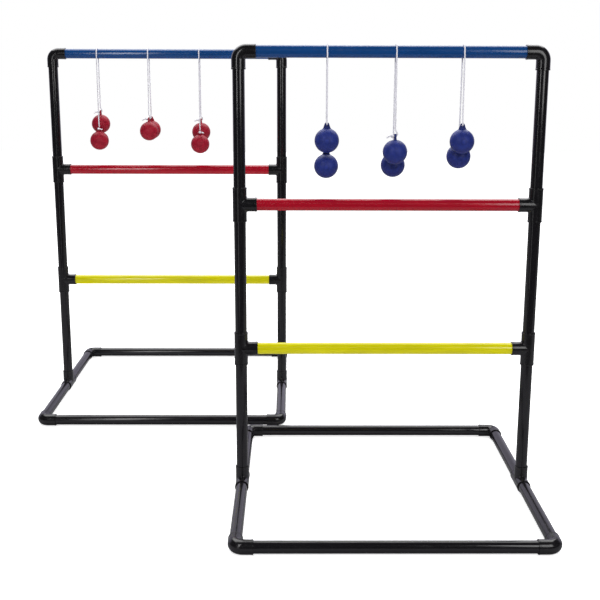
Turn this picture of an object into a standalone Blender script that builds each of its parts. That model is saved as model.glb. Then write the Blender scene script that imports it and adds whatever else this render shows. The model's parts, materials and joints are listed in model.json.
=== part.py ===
"""A ladder toss set: two push-fit pipe ladders, and six bolas draped over their top rungs.

Run with: blender --background --python part.py
Metres, +Z up. The origin is on the ground, at the centre of the set's footprint. The near ladder
stands at -Y, and a ladder's left is its -X side.
"""

import math

import bmesh
import bpy
from mathutils import Matrix, Vector

# Driving dimensions of a ladder.
LADDER_WIDTH = 0.656  # between the axes of the two uprights
RUNG_SPACING = 0.330
LOWEST_RUNG = 0.324  # above the axis of the base tubes
BASE_HALF_DEPTH = 0.341  # from the uprights to the front and to the back tube
LADDER_STEP = Vector((-0.571, 0.764, 0.0))  # from the near ladder to the far one

# Pipe and fittings.
TUBE_RADIUS = 0.01335
TUBE_WALL = 0.0029
FITTING_RADIUS = 0.0156
FITTING_REACH = 0.038  # from a fitting's centre to its socket's mouth
BEND_RADIUS = 0.0172
SEAT = 0.019  # from a fitting's centre to the end of the tube that is pushed in
GAP = 0.0003

# Bolas.
BALL_RADIUS = 0.0266
LUG_HEIGHT = 0.0075  # from the ball's surface to the axis of the hole in its lug
LUG_HOLE_RADIUS = 0.0026
LUG_TOP_RADIUS = 0.0052
LUG_HALF_BASE = 0.0078
LUG_HALF_THICKNESS = 0.0024
CORD_RADIUS = 0.0016
KNOT_RADIUS = 0.0034
LOOP_HALF_WIDTH = 0.0045
LOOP_HEIGHT = 0.0092
LOOP_CORNER = 0.0022
BALL_GAP = 0.0007

# Fineness.
SIDES = 12  # of a pipe or a fitting
BEND_STEPS = 3
CORD_SIDES = 8
LOOP_SIDES = 6
HOLE_SIDES = 8
ARC_STEPS = 6  # in a cord's bend over the rung
CROWN_STEPS = 5  # in the rounded top of a lug
BALL_FINENESS = {"around": 14, "rings": 9}
KNOT_FINENESS = {"around": 8, "rings": 5}
SHARP_ANGLE = math.radians(35)

# Each bola: its name, its place along the rung, how far its front and its back ball hang below the
# rung's axis, and whether each ball's lug shows its face or its edge to the front.
NEAR_BOLAS = [
    ("left", -0.137, (0.188, "face"), (0.246, "face")),
    ("middle", 0.011, (0.212, "edge"), (0.244, "face")),
    ("right", 0.156, (0.189, "face"), (0.2245, "face")),
]
FAR_BOLAS = [
    ("left", -0.200, (0.245, "face"), (0.199, "edge")),
    ("middle", -0.054, (0.217, "edge"), (0.216, "face")),
    ("right", 0.092, (0.254, "face"), (0.222, "edge")),
]


def corner_radius(radius, sides):
    """The distance to the corners of a many-sided section that has a circle's area."""
    return radius * math.sqrt(2 * math.pi / (sides * math.sin(2 * math.pi / sides)))


SOCKET_RADIUS = TUBE_RADIUS + GAP
PASSAGE_RADIUS = TUBE_RADIUS - TUBE_WALL
OVERSHOOT = 0.001  # how far a cutter runs past the face that it opens
FACET_TURN = math.pi / SIDES  # turns a round section so that a flat facet faces down
BASE_HEIGHT = corner_radius(FITTING_RADIUS, SIDES) * math.cos(FACET_TURN)
HALF_WIDTH = LADDER_WIDTH / 2
YELLOW_HEIGHT = LOWEST_RUNG
RED_HEIGHT = LOWEST_RUNG + RUNG_SPACING
BLUE_HEIGHT = LOWEST_RUNG + 2 * RUNG_SPACING
CORD_REACH = corner_radius(CORD_RADIUS, CORD_SIDES)
DRAPE_RADIUS = corner_radius(TUBE_RADIUS, SIDES) + GAP + CORD_REACH  # to the draped cord's centre
HOLE_DROP = BALL_RADIUS + LUG_HEIGHT  # from a lug's hole to its ball's centre
SIDE_SIGNS = {"left": -1, "right": 1}

for leftover in list(bpy.data.objects):
    bpy.data.objects.remove(leftover)


def collection(name):
    made = bpy.data.collections.new(name)
    bpy.context.scene.collection.children.link(made)
    return made


parts = collection("ladder_toss_set")
cutters = collection("cutters")


def material(name, colour, roughness):
    made = bpy.data.materials.new(name)
    made.use_nodes = True
    shader = made.node_tree.nodes["Principled BSDF"]
    shader.inputs["Base Color"].default_value = (*colour, 1.0)
    shader.inputs["Roughness"].default_value = roughness
    shader.inputs["Metallic"].default_value = 0.0
    return made


BLACK_PIPE = material("black_pipe", (0.012, 0.012, 0.014), 0.28)
BLACK_FITTING = material("black_fitting", (0.010, 0.010, 0.011), 0.38)
BLUE_PIPE = material("blue_pipe", (0.008, 0.055, 0.200), 0.28)
RED_PIPE = material("red_pipe", (0.360, 0.008, 0.020), 0.28)
YELLOW_PIPE = material("yellow_pipe", (0.600, 0.550, 0.002), 0.28)
BLUE_RUBBER = material("blue_rubber", (0.024, 0.036, 0.180), 0.60)
RED_RUBBER = material("red_rubber", (0.300, 0.012, 0.026), 0.60)
WHITE_CORD = material("white_cord", (0.800, 0.780, 0.850), 0.85)


# Meshes.


def finished(mesh):
    """The mesh with loose seams welded, and shaded smooth but for its sharp edges."""
    cleaned = bmesh.new()
    cleaned.from_mesh(mesh)
    bmesh.ops.remove_doubles(cleaned, verts=cleaned.verts, dist=1e-6)
    bmesh.ops.recalc_face_normals(cleaned, faces=cleaned.faces)
    cleaned.to_mesh(mesh)
    cleaned.free()
    mesh.shade_smooth()
    mesh.set_sharp_from_angle(angle=SHARP_ANGLE)
    return mesh


def evaluated_mesh(source):
    """The object's mesh as its modifiers or its bevel make it. The object itself is removed."""
    bpy.context.view_layer.update()
    depsgraph = bpy.context.evaluated_depsgraph_get()
    mesh = bpy.data.meshes.new_from_object(source.evaluated_get(depsgraph))
    bpy.data.objects.remove(source)
    return finished(mesh)


def cylinder(radius, low, high, axis="Z", sides=SIDES, capped=True):
    """A rod along an axis through the origin, from low to high."""
    mesh = bpy.data.meshes.new("cylinder")
    made = bmesh.new()
    reach = corner_radius(radius, sides)
    bmesh.ops.create_cone(
        made, cap_ends=capped, segments=sides, radius1=reach, radius2=reach, depth=high - low
    )
    centred = Matrix.Translation((0.0, 0.0, (low + high) / 2)) @ Matrix.Rotation(math.pi / sides, 4, "Z")
    upright_to_axis = {
        "X": Matrix.Rotation(math.pi / 2, 4, "Y"),
        "Y": Matrix.Rotation(-math.pi / 2, 4, "X"),
        "Z": Matrix.Identity(4),
    }
    bmesh.ops.transform(made, matrix=upright_to_axis[axis] @ centred, verts=made.verts)
    made.to_mesh(mesh)
    made.free()
    return mesh


def sphere(radius, centre, around, rings):
    mesh = bpy.data.meshes.new("sphere")
    made = bmesh.new()
    place = Matrix.Translation(centre)
    bmesh.ops.create_uvsphere(made, u_segments=around, v_segments=rings, radius=radius, matrix=place)
    made.to_mesh(mesh)
    made.free()
    return mesh


def wire(points, radius, sides, tilt=0.0, closed=False):
    """A round bar along a path of straight stretches. Its section has an even number of sides."""
    curve = bpy.data.curves.new("wire", "CURVE")
    curve.dimensions = "3D"
    curve.bevel_depth = corner_radius(radius, sides)
    curve.bevel_resolution = (sides - 4) // 2
    curve.use_fill_caps = True
    spline = curve.splines.new("POLY")
    spline.points.add(len(points) - 1)
    for place, point in zip(spline.points, points):
        place.co = (*point, 1.0)
        place.tilt = tilt
    spline.use_cyclic_u = closed
    bar = bpy.data.objects.new("wire", curve)
    cutters.objects.link(bar)
    return evaluated_mesh(bar)


def plate(outline, half_thickness):
    """A flat plate in the XZ plane with this outline, centred on y = 0."""
    curve = bpy.data.curves.new("plate", "CURVE")
    curve.dimensions = "2D"
    curve.fill_mode = "BOTH"
    curve.extrude = half_thickness
    spline = curve.splines.new("POLY")
    spline.points.add(len(outline) - 1)
    for place, point in zip(spline.points, outline):
        place.co = (*point, 0.0, 1.0)
    spline.use_cyclic_u = True
    flat = bpy.data.objects.new("plate", curve)
    cutters.objects.link(flat)
    mesh = evaluated_mesh(flat)
    mesh.transform(Matrix.Rotation(math.pi / 2, 4, "X"))
    return mesh


def carved(mesh, joined=(), cut=()):
    """The mesh after other meshes are joined to it and then more are cut away."""
    body = bpy.data.objects.new("body", mesh)
    parts.objects.link(body)
    tools = []
    for operation, meshes in (("UNION", joined), ("DIFFERENCE", cut)):
        for other in meshes:
            tool = bpy.data.objects.new("cutter", other)
            cutters.objects.link(tool)
            tool.hide_render = True
            tool.display_type = "WIRE"
            tools.append(tool)
            step = body.modifiers.new(operation.lower(), "BOOLEAN")
            step.operation = operation
            step.solver = "EXACT"
            step.object = tool
    result = evaluated_mesh(body)
    for tool in tools:
        bpy.data.objects.remove(tool)
    return result


def socket_cutter(axis, sign=1):
    """The space that a pushed-in tube fills, from the seat in a fitting to past its mouth."""
    low, high = sorted((sign * (SEAT - GAP), sign * (FITTING_REACH + OVERSHOOT)))
    return cylinder(SOCKET_RADIUS, low, high, axis)


def tee_mesh():
    """A tee with its run along Z and its branch towards +X."""
    past = FITTING_REACH + OVERSHOOT
    return carved(
        cylinder(FITTING_RADIUS, -FITTING_REACH, FITTING_REACH, "Z"),
        joined=[cylinder(FITTING_RADIUS, 0.0, FITTING_REACH, "X")],
        cut=[
            cylinder(PASSAGE_RADIUS, -past, past, "Z"),
            cylinder(PASSAGE_RADIUS, 0.0, past, "X"),
            socket_cutter("Z", 1),
            socket_cutter("Z", -1),
            socket_cutter("X", 1),
        ],
    )


def bend_path(tail, nose):
    """A path up the Z axis from -tail, round a quarter bend at the origin, and out along X to nose."""
    points = [Vector((0.0, 0.0, -tail))]
    for step in range(BEND_STEPS + 1):
        turned = math.pi - step * (math.pi / 2) / BEND_STEPS
        across = BEND_RADIUS * (1 + math.cos(turned))
        up = BEND_RADIUS * (math.sin(turned) - 1)
        points.append(Vector((across, 0.0, up)))
    points.append(Vector((nose, 0.0, 0.0)))
    return points


def elbow_on_tube_mesh(tube_length):
    """An elbow bonded to the tube that comes up to it along Z, with an open socket towards +X."""
    past = tube_length + OVERSHOOT
    return carved(
        wire(bend_path(FITTING_REACH, FITTING_REACH), FITTING_RADIUS, SIDES, FACET_TURN),
        joined=[cylinder(TUBE_RADIUS, -tube_length, -SEAT, "Z")],
        cut=[
            wire(bend_path(past, SEAT + OVERSHOOT), PASSAGE_RADIUS, SIDES, FACET_TURN),
            socket_cutter("X", 1),
        ],
    )


def ball_mesh():
    """A ball with a lug on top. The origin is on the axis of the lug's hole, which lies along Y."""
    centre = Vector((0.0, 0.0, -HOLE_DROP))
    root = (0.0, -HOLE_DROP / 2)
    outline = [(LUG_HALF_BASE, -LUG_HEIGHT), root, (-LUG_HALF_BASE, -LUG_HEIGHT)]
    for step in range(CROWN_STEPS + 1):
        turned = math.pi - step * math.pi / CROWN_STEPS
        outline.append((LUG_TOP_RADIUS * math.cos(turned), LUG_TOP_RADIUS * math.sin(turned)))
    past = LUG_HALF_THICKNESS + OVERSHOOT
    return carved(
        sphere(BALL_RADIUS, centre, **BALL_FINENESS),
        joined=[plate(outline, LUG_HALF_THICKNESS)],
        cut=[cylinder(LUG_HOLE_RADIUS, -past, past, "Y", HOLE_SIDES)],
    )


def cord_loop_mesh(axis):
    """The loop that a cord makes through a lug's hole, in the plane of the hole's axis and +Z."""
    points = []
    half_side = LOOP_HALF_WIDTH - LOOP_CORNER
    for index, (side, level) in enumerate(((1, 0), (1, 1), (-1, 1), (-1, 0))):
        centre_across = side * half_side
        centre_up = LOOP_CORNER + level * (LOOP_HEIGHT - 2 * LOOP_CORNER)
        for turned in ((index - 1) * math.pi / 2, index * math.pi / 2):
            across = centre_across + LOOP_CORNER * math.cos(turned)
            up = centre_up + LOOP_CORNER * math.sin(turned)
            points.append(axis * across + Vector((0.0, 0.0, up)))
    return wire(points, CORD_RADIUS, LOOP_SIDES, closed=True)


# Placed pieces.


def place(name, mesh, finish, parent, location=(0.0, 0.0, 0.0), turn=None):
    """One named piece of the set. Pieces may share a mesh, so the finish belongs to the object."""
    piece = bpy.data.objects.new(name, mesh)
    parts.objects.link(piece)
    piece.parent = parent
    piece.location = location
    if turn is not None:
        piece.rotation_euler = turn.to_euler()
    if not mesh.materials:
        mesh.materials.append(None)
    piece.material_slots[0].link = "OBJECT"
    piece.material_slots[0].material = finish
    return piece


def marker(name, parent, location):
    """An empty that carries the pieces which move together."""
    empty = bpy.data.objects.new(name, None)
    parts.objects.link(empty)
    empty.parent = parent
    empty.location = location
    return empty


def facing(run, branch):
    """The turn that takes +Z to run and +X to branch."""
    across = run.cross(branch)
    return Matrix((branch, across, run)).transposed()


def place_tube(name, finish, parent, axis, low, high, location):
    """A plain length of pipe, from low to high along an axis through location."""
    mesh = cylinder(TUBE_RADIUS, low, high, axis, capped=False)
    tube = place(name, mesh, finish, parent, location)
    wall = tube.modifiers.new("wall", "SOLIDIFY")
    wall.thickness = TUBE_WALL
    wall.offset = -1.0
    wall.use_even_offset = True
    mesh.shade_smooth()
    mesh.set_sharp_from_angle(angle=SHARP_ANGLE)
    return tube


def build_base(ladder, ground):
    """The rectangle on the ground: a front and a back tube, four side rails and two tees."""
    forward = Vector((0.0, -1.0, 0.0))
    for end, direction in (("front", forward), ("back", -forward)):
        reach = HALF_WIDTH - SEAT
        edge = direction * BASE_HALF_DEPTH
        place_tube(f"{ladder}_base_{end}_tube", BLACK_PIPE, ground, "X", -reach, reach, edge)
        for side, sign in SIDE_SIGNS.items():
            corner = edge + Vector((sign * HALF_WIDTH, 0.0, 0.0))
            inward = Vector((-sign, 0.0, 0.0))
            name = f"{ladder}_base_{side}_{end}_rail"
            place(name, RAIL_MESH, BLACK_PIPE, ground, corner, facing(direction, inward))
    for side, sign in SIDE_SIGNS.items():
        foot = Vector((sign * HALF_WIDTH, 0.0, 0.0))
        up = Vector((0.0, 0.0, 1.0))
        place(f"{ladder}_base_{side}_tee", TEE_MESH, BLACK_FITTING, ground, foot, facing(forward, up))


def build_panel(ladder, panel):
    """The part that lifts out of the base: two uprights in three lengths, four tees, three rungs."""
    up = Vector((0.0, 0.0, 1.0))
    for side, sign in SIDE_SIGNS.items():
        across = sign * HALF_WIDTH
        inward = Vector((-sign, 0.0, 0.0))
        foot = Vector((across, 0.0, 0.0))
        for length, low, high in (("lower", 0.0, YELLOW_HEIGHT), ("middle", YELLOW_HEIGHT, RED_HEIGHT)):
            name = f"{ladder}_{side}_{length}_upright"
            place_tube(name, BLACK_PIPE, panel, "Z", low + SEAT, high - SEAT, foot)
        for colour, height in (("yellow", YELLOW_HEIGHT), ("red", RED_HEIGHT)):
            joint = Vector((across, 0.0, height))
            name = f"{ladder}_{side}_{colour}_tee"
            place(name, TEE_MESH, BLACK_FITTING, panel, joint, facing(up, inward))
        top = Vector((across, 0.0, BLUE_HEIGHT))
        name = f"{ladder}_{side}_upper_upright"
        place(name, UPPER_UPRIGHT_MESH, BLACK_PIPE, panel, top, facing(up, inward))
    reach = HALF_WIDTH - SEAT
    rungs = (
        ("yellow", YELLOW_PIPE, YELLOW_HEIGHT),
        ("red", RED_PIPE, RED_HEIGHT),
        ("blue", BLUE_PIPE, BLUE_HEIGHT),
    )
    for colour, finish, height in rungs:
        name = f"{ladder}_{colour}_rung"
        place_tube(name, finish, panel, "X", -reach, reach, (0.0, 0.0, height))


def side_of_triangle(longest, other):
    """The third side of a right-angled triangle, or 0 where there is none."""
    return math.sqrt(max(longest**2 - other**2, 0.0))


def hanging_places(front_drop, back_drop):
    """Where the two ball centres hang, as seen along the rung. Balls that are near push apart, and
    so do a ball and the loop that is tied to the lower one's lug."""
    level_difference = abs(front_drop - back_drop)
    ball_spread = side_of_triangle(2 * BALL_RADIUS + BALL_GAP, level_difference)
    loop_top = HOLE_DROP + LOOP_HEIGHT + CORD_REACH - level_difference
    loop_below = max(-loop_top, 0.0)
    loop_reach = LOOP_HALF_WIDTH + CORD_REACH
    loop_spread = side_of_triangle(BALL_RADIUS + BALL_GAP, loop_below) + loop_reach
    half_spread = max(DRAPE_RADIUS, ball_spread / 2, loop_spread / 2)
    return Vector((0.0, -half_spread, -front_drop)), Vector((0.0, half_spread, -back_drop))


def strand(ball_centre):
    """The line of a taut strand: its direction up from the ball, and where it meets the rung."""
    side = math.copysign(1.0, ball_centre.y)
    length = math.sqrt(ball_centre.length_squared - DRAPE_RADIUS**2)
    bearing = math.atan2(abs(ball_centre.y), -ball_centre.z)
    lean = bearing - math.atan2(DRAPE_RADIUS, length)
    upward = Vector((0.0, -side * math.sin(lean), math.cos(lean)))
    return upward, ball_centre + upward * length


def build_bola(name, bola, holes, lug_faces, upwards, meets, rubber):
    """A cord over the rung with a ball tied to each end."""
    loops, knots = [], []
    for hole, face, upward in zip(holes, lug_faces, upwards):
        lean = Vector((0.0, 0.0, 1.0)).rotation_difference(upward).to_matrix().to_4x4()
        hole_axis = Vector((0.0, 1.0, 0.0)) if face == "face" else Vector((1.0, 0.0, 0.0))
        loop = cord_loop_mesh(hole_axis)
        loop.transform(Matrix.Translation(hole) @ lean)
        loops.append(loop)
        knots.append(sphere(KNOT_RADIUS, hole + upward * LOOP_HEIGHT, **KNOT_FINENESS))
    # The path runs up the front strand, over the rung and down the back strand. Its corners over the
    # rung lie a little outside the drape radius, so that its straight stretches clear the rung.
    front_angle = math.atan2(meets[0].z, meets[0].y) % (2 * math.pi)
    back_angle = math.atan2(meets[1].z, meets[1].y)
    step_angle = (front_angle - back_angle) / ARC_STEPS
    bend_reach = DRAPE_RADIUS / math.cos(step_angle / 2)
    cord_points = [holes[0] + upwards[0] * LOOP_HEIGHT]
    for step in range(ARC_STEPS + 1):
        turned = front_angle - step * step_angle
        cord_points.append(Vector((0.0, math.cos(turned), math.sin(turned))) * bend_reach)
    cord_points.append(holes[1] + upwards[1] * LOOP_HEIGHT)
    cord = carved(wire(cord_points, CORD_RADIUS, CORD_SIDES), joined=knots + loops)
    place(f"{name}_cord", cord, WHITE_CORD, bola)
    for end, hole, face, upward in zip(("front", "back"), holes, lug_faces, upwards):
        quarter = 0.0 if face == "face" else math.pi / 2
        lean = Vector((0.0, 0.0, 1.0)).rotation_difference(upward).to_matrix()
        turn = lean @ Matrix.Rotation(quarter, 3, "Z")
        place(f"{name}_{end}_ball", BALL_MESH, rubber, bola, hole, turn)


def build_ladder(ladder, centre, bolas, rubber):
    ground = marker(f"{ladder}_base", None, centre + Vector((0.0, 0.0, BASE_HEIGHT)))
    panel = marker(f"{ladder}_panel", ground, (0.0, 0.0, 0.0))
    build_base(ladder, ground)
    build_panel(ladder, panel)
    for name, along, (front_drop, front_face), (back_drop, back_face) in bolas:
        bola = marker(f"{ladder}_{name}_bola", panel, (along, 0.0, BLUE_HEIGHT))
        centres = hanging_places(front_drop, back_drop)
        upwards, meets = zip(*[strand(ball_centre) for ball_centre in centres])
        holes = [ball + upward * HOLE_DROP for ball, upward in zip(centres, upwards)]
        faces = (front_face, back_face)
        build_bola(f"{ladder}_{name}", bola, holes, faces, upwards, meets, rubber)


TEE_MESH = tee_mesh()
RAIL_MESH = elbow_on_tube_mesh(BASE_HALF_DEPTH - SEAT)
UPPER_UPRIGHT_MESH = elbow_on_tube_mesh(RUNG_SPACING - SEAT)
BALL_MESH = ball_mesh()

build_ladder("near", -LADDER_STEP / 2, NEAR_BOLAS, BLUE_RUBBER)
build_ladder("far", LADDER_STEP / 2, FAR_BOLAS, RED_RUBBER)
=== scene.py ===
"""The looks of a ladder toss set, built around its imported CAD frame.

Two push-fit pipe ladders stand on rectangular bases, and six bolas hang over their top rungs.
Metres, +Z up, in the CAD's own frame: the near ladder stands at -Y, and left is -X.
"""

import itertools
import json
import math

import bmesh
import bpy
import numpy as np
from mathutils import Matrix, Vector


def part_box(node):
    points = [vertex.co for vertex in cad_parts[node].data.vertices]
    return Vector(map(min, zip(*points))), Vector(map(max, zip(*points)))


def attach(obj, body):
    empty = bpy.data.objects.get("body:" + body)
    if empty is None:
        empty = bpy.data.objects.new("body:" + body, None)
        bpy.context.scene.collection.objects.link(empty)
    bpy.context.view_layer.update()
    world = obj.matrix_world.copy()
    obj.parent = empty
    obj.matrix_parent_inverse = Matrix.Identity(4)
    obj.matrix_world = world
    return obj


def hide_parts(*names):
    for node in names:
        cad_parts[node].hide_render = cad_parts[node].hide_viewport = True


# Pipe and fittings.
TUBE_RADIUS = 0.01335
TUBE_WALL = 0.0029
TUBE_EDGE = 0.0006  # the rounding of a cut pipe's edges
FITTING_RADIUS = 0.0155
SOCKET_RADIUS = TUBE_RADIUS + 0.00015
PASSAGE_RADIUS = TUBE_RADIUS - TUBE_WALL  # the hollow of a pipe, and of a fitting past its sockets
FITTING_REACH = 0.038  # from a fitting's centre to its socket's mouth
SEAT = 0.019  # from a fitting's centre to the end of the pipe that is pushed in
BEND_RADIUS = 0.0172
TEE_FILLET = 0.0030
PASSAGE_FILLET = 0.0005

# The lip round a socket's mouth. Its places are distances from the fitting's centre.
LIP_RISE = 0.0004
SKIN_REACH = FITTING_REACH - 0.0045
LIP_FOOT = SKIN_REACH + 0.0006
LIP_CREST = SKIN_REACH + 0.0011
LIP_FOOT_ROUND = 0.0002
LIP_CREST_ROUND = 0.0003
MOUTH_ROUND = 0.0007
BORE_ROUND = 0.0004

# Bolas.
BALL_RADIUS = 0.0266
HOLE_DROP = 0.0341  # from the axis of the hole in a ball's lug to the ball's centre
LUG_TOP_RADIUS = 0.0052
LUG_BASE_RADIUS = 0.0088
LUG_BASE_DROP = 0.0110  # from the hole to the centre of the lug's wider end
LUG_HALF_THICKNESS = 0.0024
LUG_EDGE = 0.0011
LUG_HOLE_RADIUS = 0.0026
LUG_FILLET = 0.0028
CORD_RADIUS = 0.0016
CORD_SEAT = 0.0006  # how far above the middle of its hole a cord bears
CORD_OFFSET = LUG_HALF_THICKNESS + CORD_RADIUS + 0.0002  # where a cord lies beside its lug
KNOT_RADIUS = 0.0018  # from the middle of a knot to the cord that is wrapped round it
KNOT_PITCH = 0.0033
KNOT_WRAPS = 1.75
TAIL_DROOP = 0.0030
DRAPE_RADIUS = TUBE_RADIUS + CORD_RADIUS
BRAID_PITCH = 0.0042
BRAID_STRANDS = 4
BRAID_DEPTH = 0.08  # how deep the braid's valleys are, as a share of the cord's radius
RIDGE_RISE = 1.6  # how high its ridges stand above the valleys, as a share of that depth
END_SECTION = 0.15  # the share of its section that a cord has left at its very end
ASKEW = (0.3, 0.5, 0.8)  # a direction that no cord starts along

# Fineness of the meshes.
AROUND = 64
LEG_STEPS = 8
BEND_STEPS = 14
FILLET_STEPS = 6
ROUND_STEPS = 4
HOLD = 0.00025  # from a rounded edge to the loop that keeps the shading flat beside it
VOXEL = 0.0008
WELD_DISTANCE = 2e-6
SHARP_ANGLE = 40
CORD_AROUND = 24
CORD_STEP = 0.0006
SPLINE_STEPS = 12
KNOT_STEPS = 8
DRAPE_STEPS = 16
STRAND_STEP = 0.02
FIELD_STEP = 1e-5
FIELD_ROUNDS = 6
LEAST_STEEPNESS = 0.05  # keeps a vertex from being thrown far where the field is nearly flat

SIDE_SIGNS = {"left": -1, "right": 1}
END_SIGNS = {"front": -1, "back": 1}
RUBBER = {"near": "blue_rubber", "far": "red_rubber"}
UP = Vector((0.0, 0.0, 1.0))

# The way up from a lug's hole: how much of the cord's offset is left at each height.
STRAND_RISE = ((1.0, 0.0030), (1.0, LUG_TOP_RADIUS), (0.6, 0.0095), (0.0, 0.0150))

# For each knot, the side of its lug that it sits on, and how far its loose tail reaches.
ON_LEFT = (Vector((-1.0, 0.0, 0.0)), Vector((-0.0075, -0.0030, -0.0010)))
IN_FRONT = (Vector((0.0, -1.0, 0.0)), Vector((0.0125, -0.0060, 0.0010)))
BEHIND = (Vector((0.0, 1.0, 0.0)), Vector((0.0050, 0.0090, -0.0040)))
KNOTS = {
    "near_left": (BEHIND, BEHIND),
    "near_middle": (ON_LEFT, BEHIND),
    "near_right": (BEHIND, BEHIND),
    "far_left": (IN_FRONT, ON_LEFT),
    "far_middle": (ON_LEFT, BEHIND),
    "far_right": (IN_FRONT, ON_LEFT),
}

# Marks on the balls and fittings.
RING_MARK_RADIUS = 0.0058
RING_MARK_EDGES = (0.00020, 0.00260)  # from the ring's middle to where it starts and ends its fading
PAINTED_LUG_SHADE_HEIGHTS = (-0.0105, -0.0060)  # the heights, from the hole, where a lug's painted shade comes in
FLASH_WIDTH = 0.00028
PARTING_WIDTH = 0.00022

# Studio. The floor lies just below the fittings' lips, which reach under the ground. It ends close in
# front of the set, so that the fronts of the pipes mirror the dark room.
FLOOR_HEIGHT = -0.0007
FLOOR_LOW = (-6.0, -1.3)
FLOOR_HIGH = (6.0, 9.0)
DARK_ROOM = (0.025, 0.025, 0.028, 1.0)
PALE_BACKDROP = (0.64, 0.61, 0.75, 1.0)
ROOM_LIGHT = (0.35, 0.35, 0.36, 1.0)
WHITE = (1.0, 1.0, 1.0, 1.0)

# Camera. It looks along +Y, turned to the right, then down, then rolled, in degrees.
CAMERA_PLACE = Vector((0.0735, -2.6427, 0.9746))
CAMERA_YAW = 0.459
CAMERA_PITCH = 13.0
CAMERA_ROLL = 0.180
CAMERA_LENS = 61.517
SENSOR_WIDTH = 36.0

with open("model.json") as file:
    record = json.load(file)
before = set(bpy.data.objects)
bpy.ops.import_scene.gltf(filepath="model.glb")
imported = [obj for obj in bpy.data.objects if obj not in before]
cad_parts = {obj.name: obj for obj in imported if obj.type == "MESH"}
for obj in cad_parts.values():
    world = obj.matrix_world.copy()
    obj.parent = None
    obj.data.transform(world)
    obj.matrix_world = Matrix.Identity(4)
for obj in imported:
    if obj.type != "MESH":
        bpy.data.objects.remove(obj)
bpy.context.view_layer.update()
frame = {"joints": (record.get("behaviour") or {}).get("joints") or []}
hinges = {joint["name"]: joint for joint in frame["joints"] if joint["type"] == "hinge"}
joint_places = {name: Vector(joint["pos_m"]) for name, joint in hinges.items()}


def linked(name, data):
    """A new object in the scene."""
    made = bpy.data.objects.new(name, data)
    bpy.context.scene.collection.objects.link(made)
    return made


# Profiles and patches. A patch is a grid of points, row by row.


def rounded(corners):
    """The profile through (across, along, corner radius) corners. A radius of 0 keeps a corner sharp."""
    points = []
    for index, (across, along, radius) in enumerate(corners):
        here = Vector((across, along))
        if radius == 0.0:
            points.append(here)
            continue
        before = (Vector(corners[index - 1][:2]) - here).normalized()
        after = (Vector(corners[(index + 1) % len(corners)][:2]) - here).normalized()
        half_angle = before.angle(after) / 2
        reach = radius / math.tan(half_angle)
        centre = here + (before + after).normalized() * (radius / math.sin(half_angle))
        first = here + before * reach - centre
        sweep = first.angle_signed(here + after * reach - centre)
        points.append(here + before * (reach + HOLD))
        for step in range(ROUND_STEPS + 1):
            turned = -sweep * step / ROUND_STEPS
            arm = Matrix.Rotation(turned, 2) @ first
            points.append(centre + arm)
        points.append(here + after * (reach + HOLD))
    return points


def ring(centre, side, up, radius):
    """One round row of points, whose first point lies towards side."""
    turned = np.arange(AROUND) * (2 * math.pi / AROUND)
    across = np.outer(np.cos(turned), np.array(side)) + np.outer(np.sin(turned), np.array(up))
    return np.array(centre) + radius * across


def turned_patch(profile, axis):
    """A profile of (radius, distance along the axis) points, turned about an axis through the origin."""
    side = Vector((0.0, 1.0, 0.0))
    up = axis.cross(side)
    return np.array([ring(axis * along, side, up, radius) for radius, along in profile])


def patch_faces(start, row_count, count, is_open):
    """The quads of one patch, whose points are numbered from start. A patch that isn't open closes round."""
    faces = []
    for row in range(row_count - 1):
        for column in range(count - 1 if is_open else count):
            here = start + row * count + column
            beside = start + row * count + (column + 1) % count
            faces.append((here, beside, beside + count, here + count))
    return faces


def mesh_of(name, patches):
    """One welded mesh of (rows, is open) patches."""
    points, faces = [], []
    for rows, is_open in patches:
        faces += patch_faces(len(points), rows.shape[0], rows.shape[1], is_open)
        points.extend(rows.reshape(-1, 3).tolist())
    mesh = bpy.data.meshes.new(name)
    mesh.from_pydata(points, [], faces)
    welded = bmesh.new()
    welded.from_mesh(mesh)
    bmesh.ops.remove_doubles(welded, verts=welded.verts, dist=WELD_DISTANCE)
    bmesh.ops.recalc_face_normals(welded, faces=welded.faces)
    welded.to_mesh(mesh)
    welded.free()
    return with_grain(mesh)


def vertices_of(mesh):
    places = np.zeros(len(mesh.vertices) * 3, np.float32)
    mesh.vertices.foreach_get("co", places)
    return places.reshape(-1, 3)


def with_grain(mesh, grain=None):
    """Smooth shading, and the coordinates that the surface detail follows wherever the piece goes."""
    mesh.shade_smooth()
    mesh.set_sharp_from_angle(angle=math.radians(SHARP_ANGLE))
    if grain is None:
        grain = vertices_of(mesh)
    made = mesh.attributes.new("grain", "FLOAT_VECTOR", "POINT")
    made.data.foreach_set("vector", np.asarray(grain, np.float32).ravel())
    return mesh


# Pipe and fitting meshes.


def pipe_mesh(length):
    """A hollow length of pipe along Z, centred on the origin."""
    half = length / 2
    profile = rounded(
        [
            (TUBE_RADIUS, -half, TUBE_EDGE),
            (TUBE_RADIUS, half, TUBE_EDGE),
            (PASSAGE_RADIUS, half, TUBE_EDGE),
            (PASSAGE_RADIUS, -half, TUBE_EDGE),
        ]
    )
    profile.append(profile[0])
    return mesh_of("pipe", [(turned_patch(profile, UP), False)])


def socket_patch(axis):
    """A socket: its proud lip, its mouth, its bore, and the shoulder that the pipe stops at."""
    proud = FITTING_RADIUS + LIP_RISE
    corners = [
        (FITTING_RADIUS, SKIN_REACH, 0.0),
        (FITTING_RADIUS, LIP_FOOT, LIP_FOOT_ROUND),
        (proud, LIP_CREST, LIP_CREST_ROUND),
        (proud, FITTING_REACH, MOUTH_ROUND),
        (SOCKET_RADIUS, FITTING_REACH, BORE_ROUND),
        (SOCKET_RADIUS, SEAT, 0.0),
        (PASSAGE_RADIUS, SEAT, 0.0),
    ]
    return turned_patch(rounded(corners), axis), False


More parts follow.
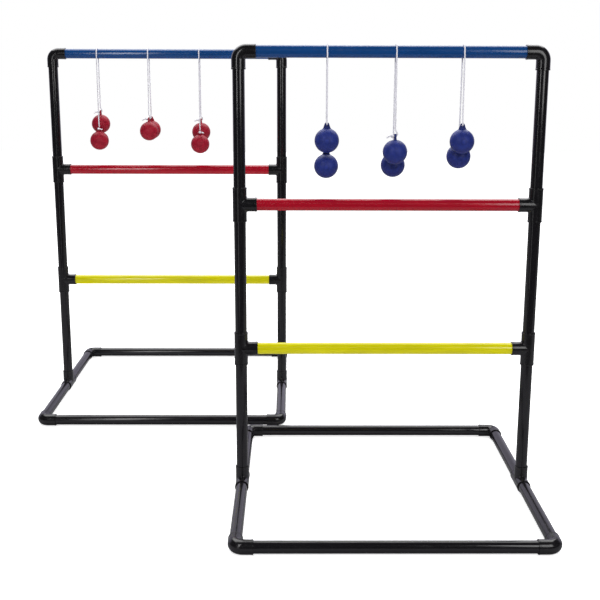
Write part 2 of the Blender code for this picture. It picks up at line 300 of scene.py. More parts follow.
def tee_skin(radius, fillet, reach):
    """The round skin of a tee with its run along Z and its branch along +X, out to reach.

    Two equal cylinders meet in the planes z = x and z = -x, and a ball that rolls in the corner
    between them makes the fillet. Each column of points runs from a mouth of the run, round the
    fillet, to the mouth of the branch.
    """
    theta = np.linspace(0.0, math.pi, AROUND // 2 + 1)
    side = radius * np.cos(theta)
    out = radius * np.sin(theta)
    corner = (radius + fillet) * np.sin(theta)
    shares = 1 - (1 - np.linspace(0.0, 1.0, LEG_STEPS + 1)) ** 2
    rows = [np.stack([out, side, reach + (corner - reach) * share], axis=1) for share in shares]
    onto_run = np.stack([-np.sin(theta), -np.cos(theta), 0 * theta], axis=1)
    onto_branch = np.stack([0 * theta, -np.cos(theta), -np.sin(theta)], axis=1)
    ball = np.stack([corner, (radius + fillet) * np.cos(theta), corner], axis=1)
    opening = np.maximum(np.arccos(np.clip(np.cos(theta) ** 2, -1.0, 1.0)), 1e-6)[:, None]
    for share in np.linspace(0.0, 1.0, FILLET_STEPS + 1)[1:-1]:
        arm = np.sin((1 - share) * opening) * onto_run + np.sin(share * opening) * onto_branch
        rows.append(ball + fillet * arm / np.sin(opening))
    for share in shares[::-1]:
        rows.append(np.stack([reach + (corner - reach) * share, side, out], axis=1))
    upper = np.array(rows)
    heights = np.concatenate([reach * (1 - shares), -reach * (1 - shares[::-1][1:])])
    back = np.array([np.stack([-out, side, 0 * out + height], axis=1) for height in heights])
    return [(upper, True), (upper * np.array([1, 1, -1]), True), (back, True)]


def bend_skin(radius, reach):
    """The round skin of an elbow that comes up the Z axis and turns off along +X."""
    side = Vector((0.0, 1.0, 0.0))
    shares = 1 - (1 - np.linspace(0.0, 1.0, LEG_STEPS + 1)) ** 2
    leg = [reach + (BEND_RADIUS - reach) * share for share in shares]
    rows = [ring((0.0, 0.0, -along), side, (-1.0, 0.0, 0.0), radius) for along in leg]
    for step in range(1, BEND_STEPS):
        turned = (math.pi / 2) * step / BEND_STEPS
        outward = Vector((-math.cos(turned), 0.0, math.sin(turned)))
        centre = Vector((BEND_RADIUS, 0.0, -BEND_RADIUS)) + outward * BEND_RADIUS
        rows.append(ring(centre, side, outward, radius))
    rows += [ring((along, 0.0, 0.0), side, (0.0, 0.0, 1.0), radius) for along in leg[::-1]]
    return [(np.array(rows), False)]


def tee_mesh():
    sockets = [socket_patch(axis) for axis in (UP, -UP, Vector((1.0, 0.0, 0.0)))]
    skin = tee_skin(FITTING_RADIUS, TEE_FILLET, SKIN_REACH)
    passage = tee_skin(PASSAGE_RADIUS, PASSAGE_FILLET, SEAT)
    return mesh_of("tee", skin + passage + sockets)


def elbow_mesh():
    sockets = [socket_patch(axis) for axis in (-UP, Vector((1.0, 0.0, 0.0)))]
    skin = bend_skin(FITTING_RADIUS, SKIN_REACH)
    passage = bend_skin(PASSAGE_RADIUS, SEAT)
    return mesh_of("elbow", skin + passage + sockets)


# Balls. A ball's shape is a distance field, and its mesh is drawn onto that field's surface.


def smooth_least(first, second, width):
    """The smaller of two distances, with a fillet of about this width where they meet."""
    share = np.clip(0.5 + 0.5 * (second - first) / width, 0.0, 1.0)
    return second * (1 - share) + first * share - width * share * (1 - share)


def lug_outline(across, up):
    """The distance from the round-ended wedge that a lug is when it is seen from the front."""
    across = np.abs(across)
    up = up + LUG_BASE_DROP
    slope = (LUG_BASE_RADIUS - LUG_TOP_RADIUS) / LUG_BASE_DROP
    rise = math.sqrt(1 - slope**2)
    along = -slope * across + rise * up
    base = np.hypot(across, up) - LUG_BASE_RADIUS
    top = np.hypot(across, up - LUG_BASE_DROP) - LUG_TOP_RADIUS
    flank = rise * across + slope * up - LUG_BASE_RADIUS
    return np.where(along < 0, base, np.where(along > rise * LUG_BASE_DROP, top, flank))


def ball_distance(points):
    """How far points are outside a ball with a drilled lug. The origin is on the hole's axis, Y."""
    across, depth, up = points.T
    ball = np.sqrt(across**2 + depth**2 + (up + HOLE_DROP) ** 2) - BALL_RADIUS
    outline = lug_outline(across, up) + LUG_EDGE
    face = np.abs(depth) - LUG_HALF_THICKNESS + LUG_EDGE
    outside = np.hypot(np.maximum(outline, 0.0), np.maximum(face, 0.0))
    lug = outside + np.minimum(np.maximum(outline, face), 0.0) - LUG_EDGE
    hole = np.hypot(across, up) - LUG_HOLE_RADIUS
    drilled = -smooth_least(-lug, hole, LUG_EDGE)
    return smooth_least(ball, drilled, LUG_FILLET)


def drawn_onto(points, distance):
    """The points moved onto the surface where the distance is nothing."""
    for _ in range(FIELD_ROUNDS):
        slopes = [
            (distance(points + step) - distance(points - step)) / (2 * FIELD_STEP)
            for step in np.eye(3) * FIELD_STEP
        ]
        slopes = np.stack(slopes, axis=1)
        steepness = np.maximum(np.sum(slopes**2, axis=1), LEAST_STEEPNESS)
        points = points - slopes * (distance(points) / steepness)[:, None]
    return points


def as_mesh(made, name):
    """A new mesh from a shape that is then let go."""
    mesh = bpy.data.meshes.new(name)
    made.to_mesh(mesh)
    made.free()
    return mesh


def rough_sphere():
    made = bmesh.new()
    middle = Matrix.Translation((0.0, 0.0, -HOLE_DROP))
    bmesh.ops.create_uvsphere(made, u_segments=64, v_segments=40, radius=BALL_RADIUS, matrix=middle)
    return as_mesh(made, "ball")


def round_bar(radius, length, place):
    made = bmesh.new()
    bmesh.ops.create_cone(
        made, cap_ends=True, segments=48, radius1=radius, radius2=radius, depth=length, matrix=place
    )
    return as_mesh(made, "bar")


def lug_web():
    """The block between the two round ends of a lug."""
    made = bmesh.new()
    bmesh.ops.create_cube(made, size=1.0)
    size = (2 * LUG_TOP_RADIUS, 2 * LUG_HALF_THICKNESS, LUG_BASE_DROP)
    bmesh.ops.scale(made, vec=size, verts=made.verts)
    bmesh.ops.translate(made, vec=(0.0, 0.0, -LUG_BASE_DROP / 2), verts=made.verts)
    return as_mesh(made, "web")


def ball_mesh():
    """A ball with its drilled lug: roughed out from plain solids, evened, then drawn onto the field."""
    sideways = Matrix.Rotation(math.pi / 2, 4, "X")
    base_place = Matrix.Translation((0.0, 0.0, -LUG_BASE_DROP)) @ sideways
    thickness = 2 * LUG_HALF_THICKNESS
    steps = (
        ("UNION", round_bar(LUG_BASE_RADIUS, thickness, base_place)),
        ("UNION", lug_web()),
        ("UNION", round_bar(LUG_TOP_RADIUS, thickness, sideways)),
        ("DIFFERENCE", round_bar(LUG_HOLE_RADIUS, 2 * thickness, sideways)),
    )
    body = linked("ball", rough_sphere())
    tools = []
    for operation, tool_mesh in steps:
        tool = linked("tool", tool_mesh)
        step = body.modifiers.new("step", "BOOLEAN")
        step.operation = operation
        step.object = tool
        tools.append(tool)
    remesh = body.modifiers.new("even", "REMESH")
    remesh.mode = "VOXEL"
    remesh.voxel_size = VOXEL
    bpy.context.view_layer.update()
    evaluated = body.evaluated_get(bpy.context.evaluated_depsgraph_get())
    even = bpy.data.meshes.new_from_object(evaluated)
    for used in [body, *tools]:
        bpy.data.objects.remove(used)
    places = drawn_onto(vertices_of(even).astype(float), ball_distance)
    even.vertices.foreach_set("co", places.astype(np.float32).ravel())
    even.update()
    return with_grain(even)


# Cords. A cord is one line: a tail, a knot, through the lug, over the rung, and the same way to its
# other end.


def spline_through(points, step):
    """Evenly spaced points along a smooth line through these points."""
    knots = np.array([points[0], *points, points[-1]], float)
    dense = []
    for before, start, end, after in zip(knots, knots[1:], knots[2:], knots[3:]):
        for share in np.linspace(0.0, 1.0, SPLINE_STEPS, endpoint=False):
            bend = 2 * before - 5 * start + 4 * end - after
            twist = 3 * (start - end) + after - before
            dense.append(start + 0.5 * share * (end - before + share * (bend + share * twist)))
    dense.append(knots[-1])
    dense = np.array(dense)
    lengths = np.concatenate([[0.0], np.cumsum(np.linalg.norm(np.diff(dense, axis=0), axis=1))])
    along = np.linspace(0.0, lengths[-1], max(2, round(lengths[-1] / step)))
    return np.stack([np.interp(along, lengths, dense[:, axis]) for axis in range(3)], axis=1), along


def ridges_at(turned, lay):
    """How high the braid's strands stand round the cord, where the braid has turned by lay."""
    leaning = np.where(np.cos(BRAID_STRANDS * turned) * math.cos(lay) > 0, lay, -lay)
    return np.abs(np.cos((BRAID_STRANDS * turned + leaning) / 2))


def cord_mesh(points):
    """A braided cord along these points, whose strands cross over and under each other."""
    line, along = spline_through(points, CORD_STEP)
    heading = np.gradient(line, axis=0)
    heading /= np.linalg.norm(heading, axis=1)[:, None]
    side = np.cross(heading[0], ASKEW)
    turned = np.arange(CORD_AROUND) * (2 * math.pi / CORD_AROUND)
    rows, grain = [], []
    for place, forward, distance in zip(line, heading, along):
        side = side - forward * (side @ forward)
        side /= np.linalg.norm(side)
        up = np.cross(forward, side)
        ridges = ridges_at(turned, distance * (2 * math.pi / BRAID_PITCH))
        end_distance = min(distance, along[-1] - distance)
        taper = math.sqrt(min(1.0, END_SECTION + end_distance / CORD_RADIUS))
        radius = CORD_RADIUS * taper * (1 - BRAID_DEPTH + BRAID_DEPTH * RIDGE_RISE * ridges)
        across = np.outer(np.cos(turned), side) + np.outer(np.sin(turned), up)
        rows.append(place + radius[:, None] * across)
        flat = np.stack([np.cos(turned), np.sin(turned)], axis=1) * radius[:, None]
        grain.append(np.column_stack([flat, np.full(CORD_AROUND, distance)]))
    faces = patch_faces(0, len(rows), CORD_AROUND, False)
    last = (len(rows) - 1) * CORD_AROUND
    faces.append(tuple(range(CORD_AROUND))[::-1])
    faces.append(tuple(range(last, last + CORD_AROUND)))
    mesh = bpy.data.meshes.new("cord")
    mesh.from_pydata(np.array(rows).reshape(-1, 3).tolist(), [], faces)
    return with_grain(mesh, np.array(grain).reshape(-1, 3))


def strand(hole, pivot):
    """A taut strand's direction up from a lug's hole, and where it touches the rung's round."""
    offset = hole - pivot
    offset.x = 0.0
    side = math.copysign(1.0, offset.y)
    length = math.sqrt(offset.length_squared - DRAPE_RADIUS**2)
    lean = math.atan2(abs(offset.y), -offset.z) - math.atan2(DRAPE_RADIUS, length)
    upward = Vector((0.0, -side * math.sin(lean), math.cos(lean)))
    return upward, hole + upward * length


def tied_end(hole, upward, hole_axis, knot_side, tail):
    """One end of a cord, from its tail's tip through its knot and its lug's hole to its strand."""
    out = hole_axis - upward * hole_axis.dot(upward)
    out = out.normalized() * math.copysign(1.0, out.dot(knot_side))
    beside = upward.cross(out)
    knot_length = KNOT_WRAPS * KNOT_PITCH
    root = hole + out * (CORD_OFFSET + knot_length + CORD_RADIUS)
    points = []
    for share in (1.0, 0.75, 0.5, 0.25, 0.0):
        drop = UP * (TAIL_DROOP * share**2)
        points.append(root + tail * share - drop)
    wrap_steps = round(KNOT_STEPS * KNOT_WRAPS)
    for step in range(wrap_steps + 1):
        share = step / wrap_steps
        turned = 2 * math.pi * KNOT_WRAPS * share
        arm = beside * math.cos(turned) + upward * math.sin(turned)
        points.append(hole + out * (CORD_OFFSET + knot_length * (1 - share)) + arm * KNOT_RADIUS)
    for along in (LUG_HALF_THICKNESS, 0.0, -LUG_HALF_THICKNESS):
        points.append(hole + out * along + upward * CORD_SEAT)
    for share, height in STRAND_RISE:
        points.append(hole - out * (CORD_OFFSET * share) + upward * height)
    return points


def bola_line(name, hole_axes):
    """The whole line of one bola's cord."""
    pivot = joint_places[f"{name}_bola_swing"]
    ends = []
    meets = []
    for end, hole_axis, knot in zip(("front", "back"), hole_axes, KNOTS[name]):
        hole = joint_places[f"{name}_{end}_ball_rock"]
        upward, meet = strand(hole, pivot)
        points = tied_end(hole, upward, hole_axis, *knot)
        last = points[-1]
        stops = max(2, round((meet - last).length / STRAND_STEP))
        points += [last.lerp(meet, step / stops) for step in range(1, stops)]
        ends.append(points)
        meets.append(meet - pivot)
    front_angle = math.atan2(meets[0].z, meets[0].y) % (2 * math.pi)
    back_angle = math.atan2(meets[1].z, meets[1].y)
    arc = []
    for step in range(DRAPE_STEPS + 1):
        turned = front_angle + (back_angle - front_angle) * step / DRAPE_STEPS
        arc.append(pivot + Vector((0.0, math.cos(turned), math.sin(turned))) * DRAPE_RADIUS)
    return ends[0] + arc + ends[1][::-1]


# Materials.


def feed(socket, value):
    """Gives a socket a value, or links it to another node's output."""
    if isinstance(value, bpy.types.NodeSocket):
        socket.id_data.links.new(value, socket)
    else:
        socket.default_value = value


def output_of(tree, kind, output, inputs, **settings):
    """Adds a node, and gives back one of its outputs."""
    made = tree.nodes.new(kind)
    for name, value in settings.items():
        setattr(made, name, value)
    for name, value in inputs.items():
        feed(made.inputs[name], value)
    return made.outputs[output]


def scaled(tree, vector, factors):
    inputs = {0: vector, 1: factors}
    return output_of(tree, "ShaderNodeVectorMath", "Vector", inputs, operation="MULTIPLY")


def added(tree, vector, other):
    return output_of(tree, "ShaderNodeVectorMath", "Vector", {0: vector, 1: other}, operation="ADD")


def length_of(tree, vector):
    return output_of(tree, "ShaderNodeVectorMath", "Value", {0: vector}, operation="LENGTH")


def noise(tree, vector, scales, detail=2.0, roughness=0.5):
    """Noise whose scale is given along X, Y and Z, or once for all three."""
    if isinstance(scales, float):
        scales = (scales, scales, scales)
    stretched = scaled(tree, vector, scales)
    inputs = {"Vector": stretched, "Scale": 1.0, "Detail": detail, "Roughness": roughness}
    return output_of(tree, "ShaderNodeTexNoise", "Fac", inputs)


def ranged(tree, value, low, high, to_low=0.0, to_high=1.0):
    inputs = {"Value": value, "From Min": low, "From Max": high, "To Min": to_low, "To Max": to_high}
    return output_of(tree, "ShaderNodeMapRange", "Result", inputs, interpolation_type="SMOOTHSTEP")


def worked(tree, operation, first, second=0.0):
    return output_of(tree, "ShaderNodeMath", 0, {0: first, 1: second}, operation=operation)


def blended(tree, share, first, second):
    """A colour between two others."""
    inputs = {0: share, 6: first, 7: second}
    return output_of(tree, "ShaderNodeMix", 2, inputs, data_type="RGBA")


def bumped(tree, height, strength, distance, normal=None):
    inputs = {"Height": height, "Strength": strength, "Distance": distance}
    if normal is not None:
        inputs["Normal"] = normal
    return output_of(tree, "ShaderNodeBump", "Normal", inputs)


def opaque(colour, share=1.0):
    return tuple(channel * share for channel in colour) + (1.0,)


def attribute(tree, name, kind):
    settings = {"attribute_name": name, "attribute_type": kind}
    return output_of(tree, "ShaderNodeAttribute", "Vector", {}, **settings)


def started(name):
    """A new material: its tree, its shader, the piece's own coordinates, and shifted ones for noise."""
    material = bpy.data.materials.new(name)
    material.use_nodes = True
    tree = material.node_tree
    shader = tree.nodes["Principled BSDF"]
    own = attribute(tree, "grain", "GEOMETRY")
    shift = attribute(tree, "grain_shift", "OBJECT")
    return material, tree, shader, own, added(tree, own, shift)


def pipe_material(name, colour, pale):
    """Extruded gloss pipe: faint die lines along it, hairline rubs, and a thin settled dust."""
    material, tree, shader, _, grain = started(name)
    lines = noise(tree, grain, (900.0, 900.0, 5.0), 3.0)
    waves = noise(tree, grain, (60.0, 60.0, 9.0), 2.0)
    hairs = noise(tree, grain, (2600.0, 2600.0, 70.0), 2.0)
    rubs = ranged(tree, hairs, 0.66, 0.76)
    patches = ranged(tree, noise(tree, grain, (38.0, 38.0, 16.0), 4.0), 0.50, 0.74)
    specks = ranged(tree, noise(tree, grain, 1500.0, 1.0), 0.68, 0.78)
    rubbed = worked(tree, "MULTIPLY", rubs, patches)
    dusty = worked(tree, "MULTIPLY", specks, patches)
    tone = blended(tree, ranged(tree, waves, 0.3, 0.7), opaque(colour, 0.93), opaque(colour, 1.08))
    lined = blended(tree, ranged(tree, lines, 0.35, 0.8, 0.0, 0.03), tone, opaque(pale))
    scuffed = blended(tree, worked(tree, "MULTIPLY", rubbed, 0.14), lined, opaque(pale))
    dusted = blended(tree, worked(tree, "MULTIPLY", dusty, 0.16), scuffed, opaque(pale))
    feed(shader.inputs["Base Color"], dusted)
    gloss = ranged(tree, patches, 0.0, 1.0, 0.13, 0.19)
    feed(shader.inputs["Roughness"], worked(tree, "ADD", gloss, worked(tree, "MULTIPLY", rubbed, 0.16)))
    drawn = bumped(tree, lines, 0.035, 0.0001)
    feed(shader.inputs["Normal"], bumped(tree, worked(tree, "ADD", waves, rubs), 0.03, 0.0002, drawn))
    return material


def fitting_material(name, colour, pale):
    """Moulded fittings: a fine spark-eroded skin, a parting line, flow marks and rubbed specks."""
    material, tree, shader, own, grain = started(name)
    skin = noise(tree, grain, 1900.0, 3.0)
    flow = noise(tree, grain, 75.0, 3.0)
    specks = ranged(tree, noise(tree, grain, 520.0, 4.0, 0.65), 0.60, 0.72)
    apart = output_of(tree, "ShaderNodeSeparateXYZ", "Y", {"Vector": own})
    parting = ranged(tree, worked(tree, "ABSOLUTE", apart), 0.0, PARTING_WIDTH, 1.0, 0.0)
    tone = blended(tree, ranged(tree, flow, 0.3, 0.7), opaque(colour, 0.85), opaque(colour, 1.15))
    specked = blended(tree, worked(tree, "MULTIPLY", specks, 0.12), tone, opaque(pale))
    feed(shader.inputs["Base Color"], specked)
    feed(shader.inputs["Roughness"], ranged(tree, flow, 0.25, 0.75, 0.15, 0.22))
    fine = bumped(tree, skin, 0.04, 0.0001)
    seamed = bumped(tree, parting, 0.5, 0.00012, fine)
    feed(shader.inputs["Normal"], bumped(tree, flow, 0.05, 0.0005, seamed))
    return material


def rubber_material(name, colour, pale, painted_lug_shade):
    """Matt moulded rubber: a pebbled skin, a flash line, a soft ring mark on each face, painted shade on the
    lug.
    """
    material, tree, shader, own, grain = started(name)
    pebbles = noise(tree, grain, 1300.0, 3.0, 0.6)
    clouds = noise(tree, grain, 95.0, 4.0)
    bloom = ranged(tree, noise(tree, grain, 320.0, 4.0, 0.65), 0.52, 0.74)
    centred = added(tree, own, (0.0, 0.0, HOLE_DROP))
    flat = scaled(tree, centred, (1.0, 0.0, 1.0))
    from_axis = length_of(tree, flat)
    off_ring = worked(tree, "ABSOLUTE", worked(tree, "SUBTRACT", from_axis, RING_MARK_RADIUS))
    ring_mark = ranged(tree, off_ring, *RING_MARK_EDGES, 1.0, 0.0)
    across = output_of(tree, "ShaderNodeSeparateXYZ", "X", {"Vector": own})
    flash = ranged(tree, worked(tree, "ABSOLUTE", across), 0.0, FLASH_WIDTH, 1.0, 0.0)
    height = output_of(tree, "ShaderNodeSeparateXYZ", "Z", {"Vector": own})
    # Painted shade: the lug is darkened from just above the ball up to its hole.
    lug = ranged(tree, height, *PAINTED_LUG_SHADE_HEIGHTS)
    tone = blended(tree, ranged(tree, clouds, 0.3, 0.7), opaque(colour, 0.86), opaque(colour, 1.14))
    dulled = blended(tree, worked(tree, "MULTIPLY", bloom, 0.09), tone, opaque(pale))
    ringed = blended(tree, worked(tree, "MULTIPLY", ring_mark, 0.32), dulled, opaque(colour, 0.5))
    lug_painted_shade = blended(tree, worked(tree, "MULTIPLY", lug, painted_lug_shade), ringed, opaque(colour, 0.25))
    feed(shader.inputs["Base Color"], lug_painted_shade)
    feed(shader.inputs["Roughness"], ranged(tree, clouds, 0.25, 0.75, 0.40, 0.50))
    feed(shader.inputs["Specular IOR Level"], 0.22)
    pebbled = bumped(tree, pebbles, 0.28, 0.0004)
    marked = bumped(tree, worked(tree, "SUBTRACT", flash, ring_mark), 0.5, 0.00016, pebbled)
    feed(shader.inputs["Normal"], marked)
    return material


def cord_material(name, colour, shade):
    """Braided white cord: soft fibres across each strand, and a little grey painted as shade in the grooves.
    """
    material, tree, shader, own, grain = started(name)
    fibres = noise(tree, grain, (5200.0, 5200.0, 1500.0), 3.0, 0.6)
    handled = ranged(tree, noise(tree, grain, 40.0, 3.0), 0.45, 0.75)
    flat = scaled(tree, own, (1.0, 1.0, 0.0))
    reach = length_of(tree, flat)
    # Painted shade: grey laid into the grooves between the strands, where the cord is thinnest.
    groove_painted_shade = ranged(tree, reach, CORD_RADIUS * 0.86, CORD_RADIUS * 1.04, 1.0, 0.0)
    fibre_tone = blended(tree, ranged(tree, fibres, 0.3, 0.7, 0.1, 0.3), opaque(colour), opaque(shade))
    groove_shaded = blended(tree, worked(tree, "MULTIPLY", groove_painted_shade, 0.25), fibre_tone, opaque(shade))
    greyed = blended(tree, worked(tree, "MULTIPLY", handled, 0.20), groove_shaded, opaque(shade))
    feed(shader.inputs["Base Color"], greyed)
    feed(shader.inputs["Roughness"], ranged(tree, fibres, 0.2, 0.8, 0.72, 0.92))
    feed(shader.inputs["Sheen Weight"], 0.25)
    feed(shader.inputs["Sheen Roughness"], 0.5)
    feed(shader.inputs["Normal"], bumped(tree, fibres, 0.20, 0.0002))
    return material


MATERIALS = {
    "black_pipe": pipe_material("black_pipe", (0.0070, 0.0064, 0.0078), (0.09, 0.09, 0.10)),
    "blue_pipe": pipe_material("blue_pipe", (0.0050, 0.0520, 0.1950), (0.14, 0.22, 0.38)),
    "red_pipe": pipe_material("red_pipe", (0.3700, 0.0035, 0.0160), (0.58, 0.14, 0.16)),
    "yellow_pipe": pipe_material("yellow_pipe", (0.6400, 0.5950, 0.0001), (0.76, 0.72, 0.04)),
    "black_fitting": fitting_material("black_fitting", (0.0076, 0.0072, 0.0082), (0.07, 0.07, 0.08)),
    "blue_rubber": rubber_material("blue_rubber", (0.0140, 0.0270, 0.1900), (0.10, 0.13, 0.36), 0.50),
    "red_rubber": rubber_material("red_rubber", (0.3200, 0.0050, 0.0220), (0.46, 0.07, 0.10), 0.15),
    "white_cord": cord_material("white_cord", (0.82, 0.81, 0.87), (0.66, 0.65, 0.72)),
}


# Placed pieces.

piece_numbers = itertools.count(1)


def placed(name, mesh, slot, body, node, place):
    """One named piece that stands for a CAD node and rides on its body, with its own stretch of noise."""
    piece = linked(name, mesh)
    piece.matrix_world = place
    if not mesh.materials:
        mesh.materials.append(None)
    piece.material_slots[0].link = "OBJECT"
    piece.material_slots[0].material = MATERIALS[slot]
    number = next(piece_numbers)
    piece["grain_shift"] = [step * number for step in (0.37, 0.53, 0.71)]
    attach(piece, body)
    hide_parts(node)
    return piece


def frame_at(origin, run, branch):
    """The place at origin that takes +Z to run and +X to branch."""
    across = run.cross(branch)
    turn = Matrix((branch, across, run)).transposed().to_4x4()
    return Matrix.Translation(origin) @ turn


def middle_and_size(node):
    low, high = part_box(node)
    return (low + high) / 2, high - low


pipe_meshes = {}


def placed_pipe(name, slot, body, node, low, high):
    """A pipe between the ends low and high of its axis. Pipes of one length share a mesh."""
    along = high - low
    key = round(along.length, 5)
    if key not in pipe_meshes:
        pipe_meshes[key] = pipe_mesh(along.length)
    run = along.normalized()
    beside = UP if abs(run.z) < 0.5 else Vector((0.0, -1.0, 0.0))
    return placed(name, pipe_meshes[key], slot, body, node, frame_at((low + high) / 2, run, beside))


def build_base(ladder):
    """The rectangle on the ground."""
    body = f"{ladder}_base"
    for end, end_sign in END_SIGNS.items():
        node = f"{ladder}_base_{end}_tube"
        edge, size = middle_and_size(node)
        half = Vector((size.x / 2, 0.0, 0.0))
        placed_pipe(f"{ladder}_base_{end}_pipe", "black_pipe", body, node, edge - half, edge + half)
        for side, side_sign in SIDE_SIGNS.items():
            foot, _ = middle_and_size(f"{ladder}_base_{side}_tee")
            corner = Vector((foot.x, edge.y, edge.z))
            outward = Vector((0.0, end_sign, 0.0))
            inward = Vector((-side_sign, 0.0, 0.0))
            stem = f"{ladder}_base_{side}_{end}"
            rail = f"{stem}_rail"
            place = frame_at(corner, outward, inward)
            placed(f"{stem}_elbow", ELBOW_MESH, "black_fitting", body, rail, place)
            tee_end = Vector((foot.x, foot.y, edge.z)) + outward * SEAT
            placed_pipe(f"{stem}_pipe", "black_pipe", body, rail, tee_end, corner - outward * SEAT)
    for side in SIDE_SIGNS:
        node = f"{ladder}_base_{side}_tee"
        foot, _ = middle_and_size(node)
        front, _ = middle_and_size(f"{ladder}_base_front_tube")
        foot.z = front.z
        place = frame_at(foot, Vector((0.0, -1.0, 0.0)), UP)
        placed(f"{ladder}_base_{side}_fitting", TEE_MESH, "black_fitting", body, node, place)


def build_panel(ladder):
    """The uprights, tees, top elbows and rungs."""
    body = f"{ladder}_panel"
    heights = {}
    for colour in ("yellow", "red", "blue"):
        node = f"{ladder}_{colour}_rung"
        centre, size = middle_and_size(node)
        heights[colour] = centre.z
        half = Vector((size.x / 2, 0.0, 0.0))
        placed_pipe(f"{ladder}_{colour}_pipe", f"{colour}_pipe", body, node, centre - half, centre + half)
    for side, side_sign in SIDE_SIGNS.items():
        inward = Vector((-side_sign, 0.0, 0.0))
        stem = f"{ladder}_{side}"
        for length in ("lower", "middle"):
            node = f"{stem}_{length}_upright"
            centre, size = middle_and_size(node)
            half = Vector((0.0, 0.0, size.z / 2))
            placed_pipe(f"{stem}_{length}_pipe", "black_pipe", body, node, centre - half, centre + half)
        post, _ = middle_and_size(f"{stem}_middle_upright")
        at = {colour: Vector((post.x, post.y, height)) for colour, height in heights.items()}
        for colour in ("yellow", "red"):
            place = frame_at(at[colour], UP, inward)
            node = f"{stem}_{colour}_tee"
            placed(f"{stem}_{colour}_fitting", TEE_MESH, "black_fitting", body, node, place)
        node = f"{stem}_upper_upright"
        place = frame_at(at["blue"], UP, inward)
        placed(f"{stem}_top_elbow", ELBOW_MESH, "black_fitting", body, node, place)
        low, high = at["red"] + UP * SEAT, at["blue"] - UP * SEAT
        placed_pipe(f"{stem}_upper_pipe", "black_pipe", body, node, low, high)


def build_bola(name, rubber):
    """A cord over the top rung, with a ball at each end. A lug's hole runs along its rock axis."""
    axes = []
    for end in ("front", "back"):
        rock = f"{name}_{end}_ball_rock"
        axes.append(Vector(hinges[rock]["axis"]))
        hole = joint_places[rock]
        upward, _ = strand(hole, joint_places[f"{name}_bola_swing"])
        across = (axes[-1] - upward * axes[-1].dot(upward)).normalized()
        place = frame_at(hole, upward, across.cross(upward))
        node = f"{name}_{end}_ball"
        placed(f"{name}_{end}_rubber", BALL_MESH, rubber, node, node, place)
    line = bola_line(name, axes)
    node = f"{name}_cord"
    placed(f"{name}_rope", cord_mesh(line), "white_cord", node, node, Matrix.Identity(4))


TEE_MESH = tee_mesh()
ELBOW_MESH = elbow_mesh()
BALL_MESH = ball_mesh()

for ladder, rubber in RUBBER.items():
    build_base(ladder)
    build_panel(ladder)
    for hung in ("left", "middle", "right"):
        build_bola(f"{ladder}_{hung}", rubber)


# Studio.


def floor():
    (left, front), (right, back) = FLOOR_LOW, FLOOR_HIGH
    corners = [(left, front), (right, front), (right, back), (left, back)]
    mesh = bpy.data.meshes.new("floor")
    mesh.from_pydata([(x, y, FLOOR_HEIGHT) for x, y in corners], [], [(0, 1, 2, 3)])
    made = linked("floor", mesh)
    material = bpy.data.materials.new("pale_floor")
    material.use_nodes = True
    tree = material.node_tree
    shader = tree.nodes["Principled BSDF"]
    path = tree.nodes.new("ShaderNodeLightPath")
    place = output_of(tree, "ShaderNodeNewGeometry", "Position", {})
    mottle = noise(tree, place, 3.0, 4.0)
    pale = blended(tree, mottle, (0.90, 0.90, 0.90, 1.0), (0.94, 0.94, 0.94, 1.0))
    seen = blended(tree, path.outputs["Is Glossy Ray"], pale, (0.33, 0.33, 0.35, 1.0))
    feed(shader.inputs["Base Color"], seen)
    distance = length_of(tree, place)
    glow = ranged(tree, distance, 1.2, 3.5, 0.70, 0.95)
    seen_glow = worked(tree, "MULTIPLY", path.outputs["Is Camera Ray"], glow)
    feed(shader.inputs["Emission Color"], WHITE)
    feed(shader.inputs["Emission Strength"], seen_glow)
    feed(shader.inputs["Roughness"], 0.9)
    feed(shader.inputs["Specular IOR Level"], 0.1)
    mesh.materials.append(material)


def softbox(name, place, target, width, height, radiance, lights=True, shines=True):
    """A soft rectangular lamp that faces a point, and that dull surfaces or reflections may leave out."""
    data = bpy.data.lights.new(name, "AREA")
    data.shape = "RECTANGLE"
    data.size = width
    data.size_y = height
    data.energy = radiance * math.pi * width * height
    lamp = linked(name, data)
    lamp.location = place
    lamp.rotation_euler = (Vector(target) - Vector(place)).to_track_quat("-Z", "Y").to_euler()
    lamp.visible_camera = False
    lamp.visible_diffuse = lights
    lamp.visible_glossy = shines


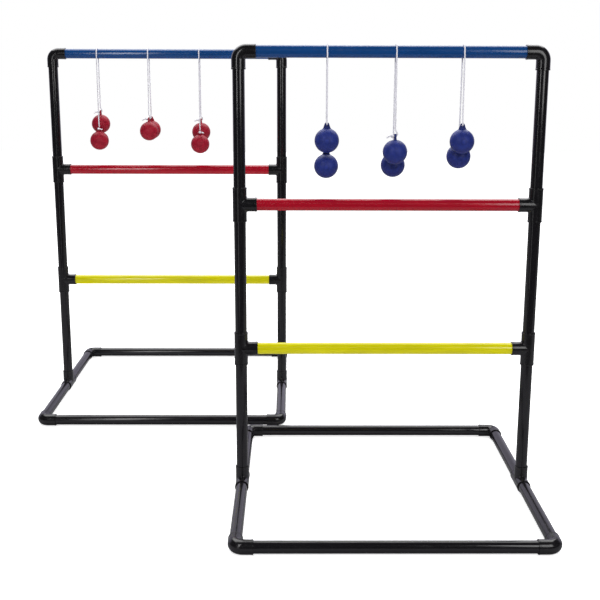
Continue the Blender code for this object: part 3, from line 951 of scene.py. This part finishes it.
def studio_walls():
    """White behind the set as the camera sees it. Reflections see a pale backdrop and a dark room."""
    world = bpy.data.worlds.new("studio")
    bpy.context.scene.world = world
    world.use_nodes = True
    tree = world.node_tree
    back = tree.nodes["Background"]
    path = tree.nodes.new("ShaderNodeLightPath")
    heading = output_of(tree, "ShaderNodeTexCoord", "Generated", {})
    split = tree.nodes.new("ShaderNodeSeparateXYZ")
    feed(split.inputs["Vector"], heading)
    behind = ranged(tree, split.outputs["Y"], 0.30, 0.60)
    below = ranged(tree, split.outputs["Z"], 0.43, 0.48, 1.0, 0.0)
    backdrop = worked(tree, "MULTIPLY", behind, below)
    mirrored = blended(tree, backdrop, DARK_ROOM, PALE_BACKDROP)
    shown = blended(tree, path.outputs["Is Camera Ray"], ROOM_LIGHT, WHITE)
    feed(back.inputs["Color"], blended(tree, path.outputs["Is Glossy Ray"], shown, mirrored))


floor()
studio_walls()
softbox("top_light", (0.0, 1.6, 2.8), (0.0, 0.6, 0.0), 4.5, 2.9, 3.2)
softbox("fill_light", (0.3, -3.6, 2.8), (0.0, 0.0, 0.5), 3.0, 1.6, 5.2, shines=False)
softbox("left_light", (-0.75, -1.70, 1.45), (0.0, -0.38, 1.3), 0.26, 1.3, 6.8, lights=False)
softbox("right_light", (1.32, -2.14, 1.44), (0.32, -0.38, 1.3), 0.90, 1.3, 4.2, lights=False)
softbox("left_low_light", (-0.75, -1.70, 0.40), (0.0, -0.38, 0.35), 0.26, 0.7, 1.2, lights=False)


# Camera.


def camera():
    yaw, pitch, roll = (math.radians(angle) for angle in (CAMERA_YAW, CAMERA_PITCH, CAMERA_ROLL))
    forward = Vector((math.sin(yaw) * math.cos(pitch), math.cos(yaw) * math.cos(pitch), -math.sin(pitch)))
    level_right = Vector((math.cos(yaw), -math.sin(yaw), 0.0))
    level_up = level_right.cross(forward)
    right = level_right * math.cos(roll) + level_up * math.sin(roll)
    upright = level_up * math.cos(roll) - level_right * math.sin(roll)
    lens = bpy.data.cameras.new("camera")
    lens.lens = CAMERA_LENS
    lens.sensor_width = SENSOR_WIDTH
    made = linked("camera", lens)
    turn = Matrix((right, upright, -forward)).transposed().to_4x4()
    made.matrix_world = Matrix.Translation(CAMERA_PLACE) @ turn
    return made


bpy.context.scene.camera = camera()
bpy.context.scene.view_settings.view_transform = "Standard"
